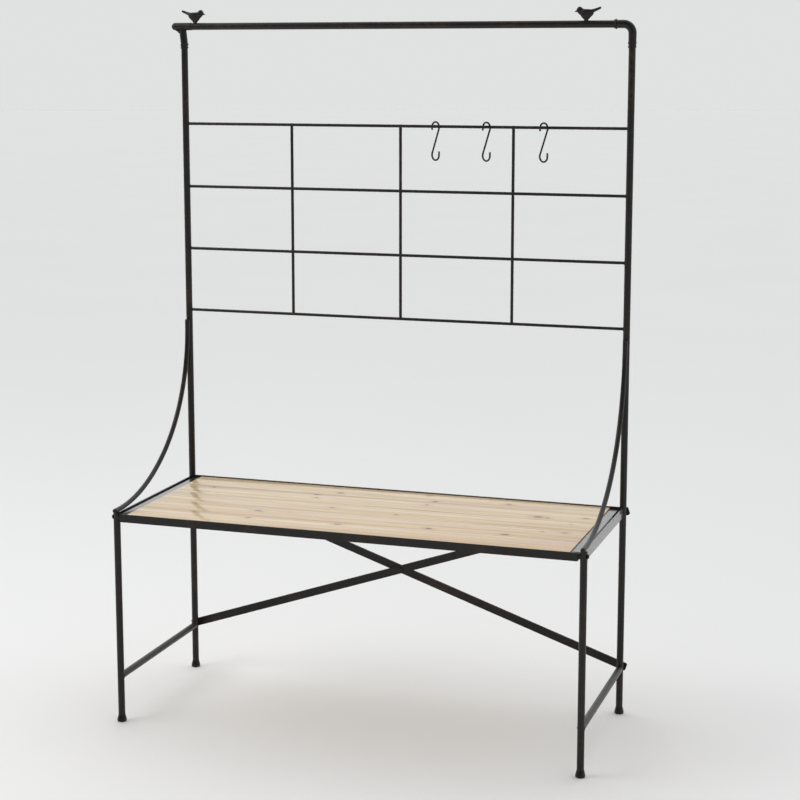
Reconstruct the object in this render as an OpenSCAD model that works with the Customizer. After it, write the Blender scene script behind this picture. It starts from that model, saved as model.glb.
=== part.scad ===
// Potting bench: a tall tube frame with a trellis back, a low boarded table,
// two curved side arms, a flat-bar cross brace and three hanging hooks.
// Millimetres. X runs along the bench, +Y is the back, +Z is up.

/* [Frame] */
// Distance between the left and right leg centres
leg_span = 1240; // [1000:10:1500]
// Distance between the front and back leg centres
leg_depth = 470; // [400:5:560]
// Height of the top rail's centre above the floor
rail_h = 1820; // [1700:5:2000]
// Outside diameter of the legs and uprights
tube_d = 18; // [16:0.5:22]
// Wall thickness of every tube
tube_wall = 1.6; // [1.2:0.1:2.5]
// Outside diameter of the top rail
rail_d = 19; // [17:0.5:22]
// Height of the lower side rails' centre
low_rail_h = 124; // [90:2:200]

/* [Table] */
// Height of the board surface
table_h = 566; // [540:2:640]
// Number of boards across the table
board_count = 5; // [5]
// Thickness of the boards
board_t = 18; // [15:1:20]
// Thickness of the angle iron under and around the boards
angle_t = 3; // [2:0.5:4]
// Width of the flat strip beside the board ends
strip_w = 21; // [16:1:24]
// Gap between the board ends and the strip
board_end_gap = 2; // [1:0.5:4]
// Number of support bars under the boards
support_count = 3; // [3]

/* [Trellis] */
// Diameter of the trellis rods
rod_d = 8; // [6:0.5:10]
// Height of the highest trellis rod
trellis_top = 1557; // [1500:1:1600]
// Vertical pitch of the trellis rods
trellis_pitch = 172; // [140:1:190]
// Horizontal pitch of the upright trellis rods
trellis_step = 310; // [280:5:330]

/* [Side arms] */
// Diameter of the curved arms
arm_d = 12.7; // [10:0.1:14]
// Radius of the upper bend
arm_upper_r = 413; // [380:1:440]
// Angle of the upper bend
arm_upper_a = 54; // [50:1:58]

/* [Cross brace] */
// Width of the brace bars
brace_w = 22; // [18:1:28]
// Thickness of the brace bars
brace_t = 4; // [3:0.5:5]
// Height of the lower brace ends
brace_low = 129; // [100:1:200]
// Height of the upper brace ends
brace_high = 552; // [500:1:556]

/* [Hooks] */
// Wire diameter of the hooks
hook_wire = 4.8; // [4:0.1:5.4]
// Turn of each hook about the vertical
hook_turn = 30; // [28:1:45]
// Place of the first hook along the trellis rod
hook_a_x = 100; // [60:1:140]
// Place of the second hook along the trellis rod
hook_b_x = 239; // [200:1:260]
// Place of the third hook along the trellis rod
hook_c_x = 393; // [350:1:440]

/* [Hidden] */
$fn = 64;

// leg and tube places
leg_x = leg_span / 2;
leg_y = leg_depth / 2;
tube_r = tube_d / 2;
tube_in_r = tube_r - tube_wall;
rail_r = rail_d / 2;
rail_in_r = rail_r - tube_wall;
rod_r = rod_d / 2;
arm_r = arm_d / 2;

// foot caps
cap_r = 12.5;
cap_neck_r = tube_r + 0.9;
cap_floor = 3;
cap_h = 18;
cap_bore_r = tube_r + 0.05;

// corner pieces of the top rail
elbow_bend_r = 23;
elbow_r = 10.5;
elbow_arm_x = 46;
elbow_arm_z = 58;
elbow_lip = 7;
elbow_stub = 24;
nose_x = leg_x + 26;
nose_r = 10.3;
nose_len = 48;
neck_drop = 58;
neck_stub = 48;
neck_low_r = 9.9;
neck_high_r = 10;
neck_lean = 4.5;

// table frame
frame_low = table_h - board_t - angle_t;
front_face_y = -leg_y - tube_r - 2;
front_rail_half = leg_x - tube_r - 4;
front_ledge = 21;
back_rail_y = leg_y - 6;
back_ledge = 21;
back_rise = 3;
strip_in_x = front_rail_half - 18;
strip_top = table_h - 3;
strip_front_y = -leg_y + tube_r;
bar_t = 4;
bar_h = 25;
bar_top = table_h;
leg_top = table_h + 1;
boss_r = 8;
boss_z = frame_low + angle_t + boss_r;
boss_in_x = strip_in_x + angle_t;
board_half = strip_in_x - board_end_gap;
board_front_y = front_face_y + angle_t + 0.5;
board_back_y = back_rail_y - angle_t - 0.5;
board_w = (board_back_y - board_front_y) / board_count;
support_w = 25;
support_t = 4;
support_top = table_h - board_t;
support_pitch = board_half * 2 / support_count;
screw_r = 2;
screw_head_r = 4;
screw_head_t = 1.8;
screw_len = 12;

// side arms: two tangent arcs from the upright to the top of the front leg
arm_start_y = leg_y - tube_r - arm_r;
arm_end_z = leg_top + arm_r;
arm_reach = arm_start_y + leg_y;
arm_lower_r = (arm_reach - arm_upper_r * (1 - cos(arm_upper_a))) / cos(arm_upper_a);
arm_drop = arm_upper_r * sin(arm_upper_a) + arm_lower_r * (1 - sin(arm_upper_a));
arm_bend_z = arm_end_z + arm_drop;
arm_tail = 14;
arm_overrun = 10;
arm_bolt_z = arm_bend_z + 6;

// cross brace
brace_y = leg_y + tube_r;
brace_past = 14;
brace_rise = brace_high - brace_low;
brace_a = atan(brace_rise / leg_span);
brace_half = (leg_x + brace_past) / cos(brace_a);
brace_round = 5;
brace_mid_z = (brace_high + brace_low) / 2;
brace_hole_x = leg_x / cos(brace_a);
brace_hole_r = 3.1;
bolt_r = 3;
bolt_head_r = 5.5;
bolt_head_t = 4.5;
rivet_r = 4;
rivet_head_r = 8;
rivet_head_t = 3;
spacer_r = 8;

// trellis
trellis_y = leg_y;
trellis_low = trellis_top - 3 * trellis_pitch;

// hooks: the bend's centre hangs this far below the rod's centre
hook_sag = 1.7;
hook_gap = 0.32;
hook_bend_gap = 73;
hook_wire_r = hook_wire / 2;
hook_bead_r = hook_wire_r + 0.1;
hook_clear_r = rod_r + hook_wire_r + hook_gap;
hook_r = sqrt(pow(hook_clear_r, 2) + pow(hook_sag * tan(hook_turn), 2)) / sin(hook_turn);
bead_inset = 0.1;
hook_tail = 5.5;
hook_tip = 8;
hook_shank_a = asin(2 * hook_r / hook_bend_gap);
hook_shank = hook_bend_gap * cos(hook_shank_a);

// birds
bird_left_x = -leg_x + 33;
bird_right_x = leg_x - 120;

// The origin is the middle of the whole object's box, on the floor.
min_x = -nose_x - nose_r;
max_x = (brace_half - brace_round) * cos(brace_a) + (brace_w / 2 - brace_round) * sin(brace_a) + brace_round;
min_y = -leg_y - arm_overrun - arm_r - 0.15;
max_y = brace_y + 2 * brace_t + bolt_head_t;
shift_x = -(min_x + max_x) / 2;
shift_y = -(min_y + max_y) / 2;

module placed() {
    translate([shift_x, shift_y, 0])
        children();
}

module iron() {
    color([0.13, 0.12, 0.115])
        children();
}

module along_x(len, r) {
    rotate([0, 90, 0])
        cylinder(h = len, r = r, center = true);
}

module along_y(len, r) {
    rotate([-90, 0, 0])
        cylinder(h = len, r = r);
}

module pipe(h, r_out, r_in) {
    difference() {
        cylinder(h = h, r = r_out);
        translate([0, 0, -1])
            cylinder(h = h + 2, r = r_in);
    }
}

// Solid posts in the legs' places, used to cope the parts that meet them.
module leg_posts() {
    for (x = [-leg_x, leg_x]) {
        for (y = [-leg_y, leg_y]) {
            translate([x, y, 0])
                cylinder(h = rail_h, r = tube_r);
        }
    }
}

// ---- legs and uprights ----

module back_upright(side) {
    stub = side < 0 ? neck_stub : elbow_stub;
    iron()
        difference() {
            translate([side * leg_x, leg_y, cap_floor])
                pipe(rail_h - stub - cap_floor, tube_r, tube_in_r);
            for (z = [brace_low, brace_high]) {
                translate([side * leg_x, leg_y, z])
                    along_y(tube_r + 1, brace_hole_r);
            }
            translate([side * leg_x, leg_y - tube_r - 1, arm_bolt_z])
                along_y(tube_r, 2.1);
        }
}

module front_leg(side) {
    iron()
        difference() {
            translate([side * leg_x, -leg_y, cap_floor])
                union() {
                    pipe(leg_top - 3 - cap_floor, tube_r, tube_in_r);
                    translate([0, 0, leg_top - 3 - cap_floor])
                        cylinder(h = 3, r = tube_r);
                }
            translate([side * leg_x, -leg_y, boss_z])
                along_x(tube_d + 2, brace_hole_r);
        }
}

module foot_cap(x_side, y_side) {
    iron()
        translate([x_side * leg_x, y_side * leg_y, 0])
            rotate_extrude()
                polygon([
                    [0, 0], [cap_r - 1, 0], [cap_r, 1], [cap_r, 3.5],
                    [cap_neck_r + 1, 9], [cap_neck_r, cap_h - 1], [cap_neck_r - 0.3, cap_h],
                    [cap_bore_r, cap_h], [cap_bore_r, cap_floor], [0, cap_floor]
                ]);
}

module low_side_rail(side) {
    iron()
        difference() {
            translate([side * leg_x, -leg_y, low_rail_h])
                rotate([-90, 0, 0])
                    pipe(leg_depth, tube_r, tube_in_r);
            leg_posts();
        }
}

// ---- top rail ----

module top_rail() {
    iron()
        translate([-nose_x + 2, leg_y, rail_h])
            rotate([0, 90, 0])
                pipe(nose_x - 2 + leg_x - elbow_bend_r, rail_r, rail_in_r);
}

module rail_elbow() {
    arm_len = elbow_arm_x - elbow_bend_r;
    drop_len = elbow_arm_z - elbow_bend_r;
    iron()
        translate([leg_x, leg_y, rail_h])
            difference() {
                union() {
                    translate([-elbow_bend_r, 0, -elbow_bend_r])
                        rotate([90, 0, 0])
                            rotate_extrude(angle = 90)
                                translate([elbow_bend_r, 0])
                                    circle(r = elbow_r);
                    translate([-elbow_bend_r - arm_len, 0, 0])
                        rotate([0, 90, 0])
                            cylinder(h = arm_len, r = elbow_r);
                    translate([-elbow_arm_x, 0, 0])
                        rotate([0, 90, 0])
                            cylinder(h = elbow_lip, r = elbow_r + 0.6);
                    translate([0, 0, -elbow_arm_z])
                        cylinder(h = drop_len, r1 = tube_r + 1, r2 = elbow_r);
                }
                translate([-elbow_arm_x - 1, 0, 0])
                    rotate([0, 90, 0])
                        cylinder(h = arm_len + 1, r = rail_r + 0.05);
                translate([0, 0, -elbow_arm_z - 1])
                    cylinder(h = elbow_arm_z - elbow_stub + 1, r = tube_r + 0.05);
            }
}

module corner_fitting() {
    iron()
        translate([0, leg_y, rail_h])
            difference() {
                union() {
                    translate([-nose_x, 0, 0])
                        sphere(r = nose_r);
                    translate([-nose_x, 0, 0])
                        rotate([0, 90, 0])
                            cylinder(h = nose_len, r = nose_r);
                    translate([-leg_x, 0, -neck_drop])
                        cylinder(h = neck_drop - neck_stub + 1, r = neck_low_r);
                    hull() {
                        translate([-leg_x, 0, -neck_stub])
                            cylinder(h = 1, r = neck_low_r, $fn = 48);
                        translate([-leg_x - neck_lean, 0, -8])
                            cylinder(h = 1, r = neck_high_r, $fn = 48);
                    }
                    hull() {
                        translate([-nose_x + 5, 0, -3.5])
                            sphere(r = 5, $fn = 20);
                        translate([-leg_x - 7, 0, -13])
                            sphere(r = 6, $fn = 20);
                    }
                }
                translate([-nose_x + 2, 0, 0])
                    rotate([0, 90, 0])
                        cylinder(h = nose_len, r = rail_r + 0.05);
                translate([-leg_x, 0, -neck_drop - 1])
                    cylinder(h = neck_drop - neck_stub + 1, r = tube_r + 0.05);
            }
}

// One bird, facing +X, its foot on the rail at x = 0. The body narrows to the foot.
module bird() {
    difference() {
        union() {
            hull() {
                translate([-10.5, 0, 19.6])
                    scale([1, 0.88, 1])
                        sphere(r = 8.2, $fn = 24);
                translate([10.5, 0, 19.6])
                    scale([1, 0.92, 1])
                        sphere(r = 8.4, $fn = 24);
                cylinder(h = 2, r = 4.6, $fn = 20);
            }
            hull() {
                translate([9, 0, 21])
                    sphere(r = 7, $fn = 20);
                translate([17, 0, 27.6])
                    sphere(r = 7.4, $fn = 24);
            }
            hull() {
                translate([20.5, 0, 25.5])
                    sphere(r = 3.4, $fn = 16);
                translate([30.4, 0, 21.8])
                    sphere(r = 0.8, $fn = 16);
            }
            hull() {
                translate([-12, 0, 23.2])
                    sphere(r = 5, $fn = 20);
                translate([-35, 0, 30.6])
                    scale([1.7, 1.8, 1.2])
                        sphere(r = 2.2, $fn = 16);
            }
            translate([0, 0, -4])
                cylinder(h = 8, r = 4.6);
        }
        translate([0, 0, -rail_r])
            along_x(40, rail_r);
    }
}

// A bird on the rail; it looks along +X when facing is 1.
module rail_bird(x, facing) {
    iron()
        translate([x, leg_y, rail_h + rail_r])
            scale([facing, 1, 1])
                bird();
}

// ---- trellis ----

module trellis_rod(level) {
    iron()
        difference() {
            translate([0, trellis_y, trellis_top - level * trellis_pitch])
                along_x(leg_span, rod_r);
            leg_posts();
        }
}

module trellis_stem(place) {
    iron()
        translate([place * trellis_step, trellis_y + rod_d, trellis_low - rod_r])
            cylinder(h = trellis_top - trellis_low + rod_d, r = rod_r);
}

// ---- side arms ----

// An arc of the arm in the YZ plane, about the given centre. Angle 0 is the
// back of the bend, and the arc runs down and forward from there.
module arm_arc(c_y, c_z, bend_r, from_a, to_a) {
    inset_a = 0.02;
    translate([0, c_y, c_z])
        rotate([0, -90, 0])
            rotate([0, 0, 90 + from_a + inset_a])
                rotate_extrude(angle = to_a - from_a - 2 * inset_a)
                    translate([bend_r, 0])
                        circle(r = arm_r);
}

// A bead where two lengths of the arm are joined, and at its rounded end.
module arm_bead(y, z) {
    translate([0, y, z])
        sphere(r = arm_r + 0.15);
}

module side_arm(side) {
    upper_c_y = arm_start_y - arm_upper_r;
    lower_c_z = arm_end_z + arm_lower_r;
    joint_y = upper_c_y + arm_upper_r * cos(arm_upper_a);
    joint_z = arm_bend_z - arm_upper_r * sin(arm_upper_a);
    iron()
        translate([side * leg_x, 0, 0])
            difference() {
                union() {
                    translate([0, arm_start_y, arm_bend_z + bead_inset])
                        cylinder(h = arm_tail, r = arm_r);
                    arm_bead(arm_start_y, arm_bend_z);
                    arm_arc(upper_c_y, arm_bend_z, arm_upper_r, 0, arm_upper_a);
                    arm_bead(joint_y, joint_z);
                    arm_arc(-leg_y, lower_c_z, arm_lower_r, arm_upper_a, 90);
                    arm_bead(-leg_y, arm_end_z);
                    translate([0, -leg_y - bead_inset, arm_end_z])
                        rotate([90, 0, 0])
                            cylinder(h = arm_overrun - bead_inset, r = arm_r);
                    arm_bead(-leg_y - arm_overrun, arm_end_z);
                }
                translate([0, arm_start_y - arm_r - 1, arm_bolt_z])
                    along_y(arm_d + 2, 2.1);
                translate([0, -leg_y, 0])
                    cylinder(h = leg_top, r = tube_r + 2);
                translate([0, leg_y, arm_bend_z - 100])
                    cylinder(h = 200, r = tube_r);
            }
}

module arm_bolts() {
    head_y = arm_start_y - arm_r;
    iron()
        for (side = [-1, 1]) {
            translate([side * leg_x, head_y - 1, arm_bolt_z])
                along_y(arm_d + 7.6, 2);
            translate([side * leg_x, head_y - 2.4, arm_bolt_z])
                along_y(2.4, 4);
        }
}

// ---- table frame ----

module front_rail() {
    iron()
        union() {
            translate([-front_rail_half, front_face_y, frame_low])
                cube([front_rail_half * 2, angle_t, table_h - frame_low]);
            translate([-front_rail_half, front_face_y, frame_low])
                cube([front_rail_half * 2, front_ledge, angle_t]);
        }
}

module back_rail() {
    wall_h = table_h + back_rise - frame_low;
    iron()
        difference() {
            union() {
                translate([-leg_x, back_rail_y - angle_t, frame_low])
                    cube([leg_span, angle_t, wall_h]);
                translate([-board_half, back_rail_y - back_ledge, frame_low])
                    cube([board_half * 2, back_ledge, angle_t]);
            }
            leg_posts();
        }
}

// Channel iron at the board ends; its flat top is the strip beside the wood.
module end_channel(side) {
    len = back_rail_y - angle_t - strip_front_y;
    wall_y = front_face_y + angle_t;
    wall_z = frame_low + angle_t;
    iron()
        scale([side, 1, 1])
            union() {
                translate([strip_in_x, strip_front_y, strip_top - angle_t])
                    cube([strip_w, len, angle_t]);
                translate([strip_in_x + strip_w - angle_t, strip_front_y, wall_z])
                    cube([angle_t, len, strip_top - wall_z]);
                translate([strip_in_x, wall_y, wall_z])
                    cube([angle_t, back_rail_y - angle_t - wall_y, strip_top - wall_z]);
            }
}

module side_bar(side) {
    iron()
        difference() {
            translate([side * leg_x - bar_t / 2, -leg_y, bar_top - bar_h])
                cube([bar_t, leg_depth, bar_h]);
            leg_posts();
        }
}

// Threaded boss between the end channel and the front leg.
module corner_boss(side) {
    iron()
        difference() {
            translate([side * (boss_in_x + leg_x) / 2, -leg_y, boss_z])
                along_x(leg_x - boss_in_x, boss_r);
            leg_posts();
            translate([side * (leg_x - tube_r - 5), -leg_y, boss_z])
                along_x(16, bolt_r + 0.05);
        }
}

module leg_bolts() {
    iron()
        for (side = [-1, 1]) {
            translate([side * (leg_x - 2), -leg_y, boss_z])
                along_x(tube_d + 4, bolt_r);
            translate([side * (leg_x + tube_r + bolt_head_t / 2), -leg_y, boss_z])
                along_x(bolt_head_t, bolt_head_r);
        }
}

function support_x(place) = (place - (support_count + 1) / 2) * support_pitch;

function board_y(board) = board_front_y + (board - 0.5) * board_w;

function screw_y(board) = max(
    board_front_y + 30,
    min(board_back_y - 30, board_y(board))
);

module support_bar(place) {
    x = support_x(place);
    y_low = front_face_y + front_ledge;
    y_high = back_rail_y - back_ledge;
    iron()
        difference() {
            translate([x - support_w / 2, y_low, support_top - support_t])
                cube([support_w, y_high - y_low, support_t]);
            for (board = [1:board_count]) {
                translate([x, screw_y(board), support_top - support_t - 1])
                    cylinder(h = support_t + 2, r = screw_r + 0.1);
            }
        }
}

// ---- boards and screws ----

module board(place) {
    color([0.83, 0.72, 0.54])
        difference() {
            translate([-board_half, board_y(place) - board_w / 2, table_h - board_t])
                cube([board_half * 2, board_w, board_t]);
            for (bar = [1:support_count]) {
                translate([support_x(bar), screw_y(place), table_h - board_t - 1])
                    cylinder(h = screw_len - support_t + 1.5, r = screw_r + 0.05);
            }
        }
}

module board_screws() {
    low = support_top - support_t;
    color([0.6, 0.6, 0.6])
        for (bar = [1:support_count]) {
            for (place = [1:board_count]) {
                translate([support_x(bar), screw_y(place), low])
                    cylinder(h = screw_len, r = screw_r);
                translate([support_x(bar), screw_y(place), low - screw_head_t])
                    cylinder(h = screw_head_t, r = screw_head_r);
            }
        }
}

// ---- cross brace ----

// A flat bar behind the uprights; rise is 1 when its right end is the high one.
module brace_bar(rise, layer) {
    iron()
        translate([0, brace_y + layer * brace_t, brace_mid_z])
            rotate([0, -rise * brace_a, 0])
                difference() {
                    union() {
                        translate([-brace_half, 0, brace_round - brace_w / 2])
                            cube([brace_half * 2, brace_t, brace_w - 2 * brace_round]);
                        translate([brace_round - brace_half, 0, -brace_w / 2])
                            cube([(brace_half - brace_round) * 2, brace_t, brace_w]);
                        for (x = [-1, 1], z = [-1, 1]) {
                            translate([x * (brace_half - brace_round), 0, z * (brace_w / 2 - brace_round)])
                                along_y(brace_t, brace_round);
                        }
                    }
                    for (x = [-brace_hole_x, brace_hole_x]) {
                        translate([x, -1, 0])
                            along_y(brace_t + 2, brace_hole_r);
                    }
                    translate([0, -1, 0])
                        along_y(brace_t + 2, rivet_r + 0.05);
                }
}

module brace_rivet() {
    iron()
        union() {
            translate([0, brace_y, brace_mid_z])
                along_y(brace_t * 2, rivet_r);
            translate([0, brace_y - rivet_head_t, brace_mid_z])
                along_y(rivet_head_t, rivet_head_r);
            translate([0, brace_y + brace_t * 2, brace_mid_z])
                along_y(rivet_head_t, rivet_head_r);
        }
}

// Washers that fill the gap under the rear bar's ends.
module brace_spacers() {
    iron()
        for (end = [[-1, brace_high], [1, brace_low]]) {
            translate([end[0] * leg_x, brace_y, end[1]])
                rotate([-90, 0, 0])
                    pipe(brace_t, spacer_r, brace_hole_r);
        }
}

module brace_bolts() {
    ends = [[-1, brace_low, 1], [1, brace_high, 1], [-1, brace_high, 2], [1, brace_low, 2]];
    iron()
        for (end = ends) {
            translate([end[0] * leg_x, leg_y + 3, end[1]])
                along_y(tube_r - 3 + end[2] * brace_t, bolt_r);
            translate([end[0] * leg_x, brace_y + end[2] * brace_t, end[1]])
                rotate([-90, 0, 0])
                    cylinder(h = bolt_head_t, r = bolt_head_r, $fn = 6);
        }
}

// ---- hooks ----

// A bead where two runs of hook wire meet, and at each end.
module hook_bead(u, z) {
    translate([u, 0, z])
        sphere(r = hook_bead_r);
}

// A straight run of hook wire that starts at a bead and leans by an angle.
module hook_run(u, z, len, lean) {
    translate([u, 0, z])
        rotate([0, lean, 0])
            translate([0, 0, bead_inset])
                cylinder(h = len - 2 * bead_inset, r = hook_wire_r);
}

module hook_bend(z, from_a, to_a) {
    inset_a = 1;
    translate([0, 0, z])
        rotate([90, 0, 0])
            rotate([0, 0, from_a + inset_a])
                rotate_extrude(angle = to_a - from_a - 2 * inset_a)
                    translate([hook_r, 0])
                        circle(r = hook_wire_r);
}

// One S-hook in its own plane: u is X, height is Z, the rod's centre is the origin.
module hook_shape() {
    top_z = -hook_sag;
    low_z = top_z - hook_bend_gap;
    shank_u = hook_r * cos(hook_shank_a);
    shank_z = hook_r * sin(hook_shank_a);
    union() {
        hook_bead(-hook_r, top_z - hook_tail);
        hook_run(-hook_r, top_z - hook_tail, hook_tail, 0);
        hook_bead(-hook_r, top_z);
        hook_bend(top_z, -hook_shank_a, 180);
        hook_bead(shank_u, top_z - shank_z);
        hook_run(shank_u, top_z - shank_z, hook_shank, 180 + hook_shank_a);
        hook_bead(-shank_u, low_z + shank_z);
        hook_bend(low_z, 180 - hook_shank_a, 360);
        hook_bead(hook_r, low_z);
        hook_run(hook_r, low_z, hook_tip, 0);
        hook_bead(hook_r, low_z + hook_tip);
    }
}

module hook(x) {
    iron()
        translate([x, trellis_y, trellis_top])
            rotate([0, 0, -hook_turn])
                hook_shape();
}

placed() back_upright(-1);  // back_upright_left
placed() back_upright(1);  // back_upright_right
placed() front_leg(-1);  // front_leg_left
placed() front_leg(1);  // front_leg_right
placed() foot_cap(-1, 1);  // foot_cap_back_left
placed() foot_cap(1, 1);  // foot_cap_back_right
placed() foot_cap(-1, -1);  // foot_cap_front_left
placed() foot_cap(1, -1);  // foot_cap_front_right
placed() low_side_rail(-1);  // low_side_rail_left
placed() low_side_rail(1);  // low_side_rail_right
placed() top_rail();
placed() rail_elbow();  // rail_elbow_right
placed() corner_fitting();  // corner_fitting_left
placed() rail_bird(bird_left_x, 1);  // bird_left
placed() rail_bird(bird_right_x, -1);  // bird_right
placed() trellis_rod(0);  // trellis_rod_1
placed() trellis_rod(1);  // trellis_rod_2
placed() trellis_rod(2);  // trellis_rod_3
placed() trellis_rod(3);  // trellis_rod_4
placed() trellis_stem(-1);  // trellis_stem_left
placed() trellis_stem(0);  // trellis_stem_middle
placed() trellis_stem(1);  // trellis_stem_right
placed() side_arm(-1);  // side_arm_left
placed() side_arm(1);  // side_arm_right
placed() arm_bolts();
placed() front_rail();
placed() back_rail();
placed() end_channel(-1);  // end_channel_left
placed() end_channel(1);  // end_channel_right
placed() side_bar(-1);  // side_bar_left
placed() side_bar(1);  // side_bar_right
placed() corner_boss(-1);  // corner_boss_left
placed() corner_boss(1);  // corner_boss_right
placed() leg_bolts();
placed() support_bar(1);  // support_bar_left
placed() support_bar(2);  // support_bar_middle
placed() support_bar(3);  // support_bar_right
placed() board(1);  // board_1
placed() board(2);  // board_2
placed() board(3);  // board_3
placed() board(4);  // board_4
placed() board(5);  // board_5
placed() board_screws();
placed() brace_bar(1, 0);  // brace_bar_front
placed() brace_bar(-1, 1);  // brace_bar_rear
placed() brace_rivet();
placed() brace_spacers();
placed() brace_bolts();
placed() hook(hook_a_x);  // hook_left
placed() hook(hook_b_x);  // hook_middle
placed() hook(hook_c_x);  // hook_right
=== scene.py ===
"""Looks for the potting bench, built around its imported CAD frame. Metres, +Y is the back, +Z is up."""
import math

import bmesh
import bpy
from mathutils import Matrix, Vector, noise


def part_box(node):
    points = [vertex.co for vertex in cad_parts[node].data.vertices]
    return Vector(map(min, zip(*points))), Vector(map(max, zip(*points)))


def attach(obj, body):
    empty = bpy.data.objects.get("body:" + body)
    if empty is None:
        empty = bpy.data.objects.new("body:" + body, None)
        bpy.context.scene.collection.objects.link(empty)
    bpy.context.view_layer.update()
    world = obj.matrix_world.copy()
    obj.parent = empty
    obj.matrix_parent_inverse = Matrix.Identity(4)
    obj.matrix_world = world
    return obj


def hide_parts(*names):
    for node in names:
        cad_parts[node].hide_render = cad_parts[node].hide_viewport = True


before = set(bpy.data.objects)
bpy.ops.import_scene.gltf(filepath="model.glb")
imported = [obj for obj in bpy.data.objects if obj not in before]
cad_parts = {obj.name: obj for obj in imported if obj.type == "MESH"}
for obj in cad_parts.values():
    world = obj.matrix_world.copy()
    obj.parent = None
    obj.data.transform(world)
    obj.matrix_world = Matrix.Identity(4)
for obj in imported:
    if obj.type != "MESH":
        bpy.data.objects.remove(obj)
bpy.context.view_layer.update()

MM = 0.001
BENCH = "bench"


# ---- places, all read from the frame ----

def centre(node):
    """The middle of a node's box at rest."""
    low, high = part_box(node)
    return (low + high) / 2


def size(node):
    """A node's extent along each axis at rest."""
    low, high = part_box(node)
    return high - low


LEG_R = size("front_leg_left").x / 2
LEFT_X = centre("front_leg_left").x
RIGHT_X = centre("front_leg_right").x
FRONT_Y = centre("front_leg_left").y
BACK_Y = centre("back_upright_left").y
MIDDLE_X = (LEFT_X + RIGHT_X) / 2
ROD_R = size("trellis_stem_left").x / 2
ROD_HEIGHTS = [centre(f"trellis_rod_{level}").z for level in range(1, 5)]
STEM_NODES = ("trellis_stem_left", "trellis_stem_middle", "trellis_stem_right")
SIDES = (("left", LEFT_X, -1), ("right", RIGHT_X, 1))


# ---- camera, floor and light ----

LENS_MM = 82.92
SENSOR_MM = 36
CAMERA_SHIFT = -0.05
CAMERA_PLACE = (1.5522, -4.4425, 1.7319)
CAMERA_TILT_DOWN = math.radians(9.271)
CAMERA_TURN = math.radians(18.243)
FLOOR_R = 60
FLOOR_SIDES = 96
BACKDROP_COLOUR = (0.748, 0.754, 0.754, 1)
DAYLIGHT_COLOUR = (0.98, 0.99, 1.0, 1)


def make_camera():
    """A long lens from the front right, a little below the height of the top rail, tilted down."""
    data = bpy.data.cameras.new("camera")
    data.sensor_width = SENSOR_MM
    data.lens = LENS_MM
    data.shift_y = CAMERA_SHIFT
    camera = bpy.data.objects.new("camera", data)
    camera.location = CAMERA_PLACE
    camera.rotation_euler = (math.radians(90) - CAMERA_TILT_DOWN, 0, CAMERA_TURN)
    bpy.context.scene.collection.objects.link(camera)
    bpy.context.scene.camera = camera


def make_light(name, place, aim, width, power):
    """A square area light in metres and watts, turned to face a point."""
    data = bpy.data.lights.new(name, "AREA")
    data.shape = "SQUARE"
    data.size = width
    data.energy = power
    light = bpy.data.objects.new(name, data)
    light.location = place
    light.rotation_euler = (Vector(aim) - Vector(place)).to_track_quat("-Z", "Y").to_euler()
    bpy.context.scene.collection.objects.link(light)


def make_world():
    """A pale room, brightest behind and above and dim in front; the camera sees a plain backdrop."""
    world = bpy.data.worlds.new("studio")
    world.use_nodes = True
    tree = world.node_tree
    tree.nodes.clear()

    def ranged(socket, low, high, to_low, to_high):
        node = tree.nodes.new("ShaderNodeMapRange")
        node.interpolation_type = "SMOOTHSTEP"
        tree.links.new(socket, node.inputs["Value"])
        for name, value in zip(("From Min", "From Max", "To Min", "To Max"), (low, high, to_low, to_high)):
            node.inputs[name].default_value = value
        return node.outputs["Result"]

    def product(a, b):
        node = tree.nodes.new("ShaderNodeMath")
        node.operation = "MULTIPLY"
        tree.links.new(a, node.inputs[0])
        tree.links.new(b, node.inputs[1])
        return node.outputs[0]

    toward = tree.nodes.new("ShaderNodeSeparateXYZ")
    tree.links.new(tree.nodes.new("ShaderNodeTexCoord").outputs["Generated"], toward.inputs["Vector"])
    depth = ranged(toward.outputs["Y"], low=-0.80, high=0.45, to_low=0.15, to_high=1.0)
    side = ranged(toward.outputs["X"], low=-1.0, high=1.0, to_low=1.12, to_high=0.86)
    height = ranged(toward.outputs["Z"], low=-0.1, high=0.9, to_low=0.90, to_high=1.34)
    around = tree.nodes.new("ShaderNodeBackground")
    around.inputs["Color"].default_value = DAYLIGHT_COLOUR
    tree.links.new(product(product(depth, side), height), around.inputs["Strength"])
    seen = tree.nodes.new("ShaderNodeBackground")
    seen.inputs["Color"].default_value = BACKDROP_COLOUR
    choice = tree.nodes.new("ShaderNodeMixShader")
    tree.links.new(tree.nodes.new("ShaderNodeLightPath").outputs["Is Camera Ray"], choice.inputs["Fac"])
    tree.links.new(around.outputs["Background"], choice.inputs[1])
    tree.links.new(seen.outputs["Background"], choice.inputs[2])
    tree.links.new(choice.outputs["Shader"], tree.nodes.new("ShaderNodeOutputWorld").inputs["Surface"])
    bpy.context.scene.world = world


def make_studio():
    """The world, two soft lights, and a round floor that reaches past the horizon of every view."""
    make_world()
    bpy.context.scene.view_settings.view_transform = "Standard"
    make_light("key", place=(-2.8, -1.6, 3.6), aim=(0, 0, 0.7), width=2.2, power=42)
    make_light("fill", place=(3.4, -2.4, 2.4), aim=(0, 0, 0.9), width=2.4, power=8)
    ring = [Vector((FLOOR_R * math.cos(a), FLOOR_R * math.sin(a), 0))
            for a in (math.tau * k / FLOOR_SIDES for k in range(FLOOR_SIDES))]
    mesh = bpy.data.meshes.new("floor")
    mesh.from_pydata(ring, [], [list(range(FLOOR_SIDES))])
    mesh.materials.append(floor_material())
    floor = bpy.data.objects.new("floor", mesh)
    bpy.context.scene.collection.objects.link(floor)


# ---- materials ----

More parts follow.
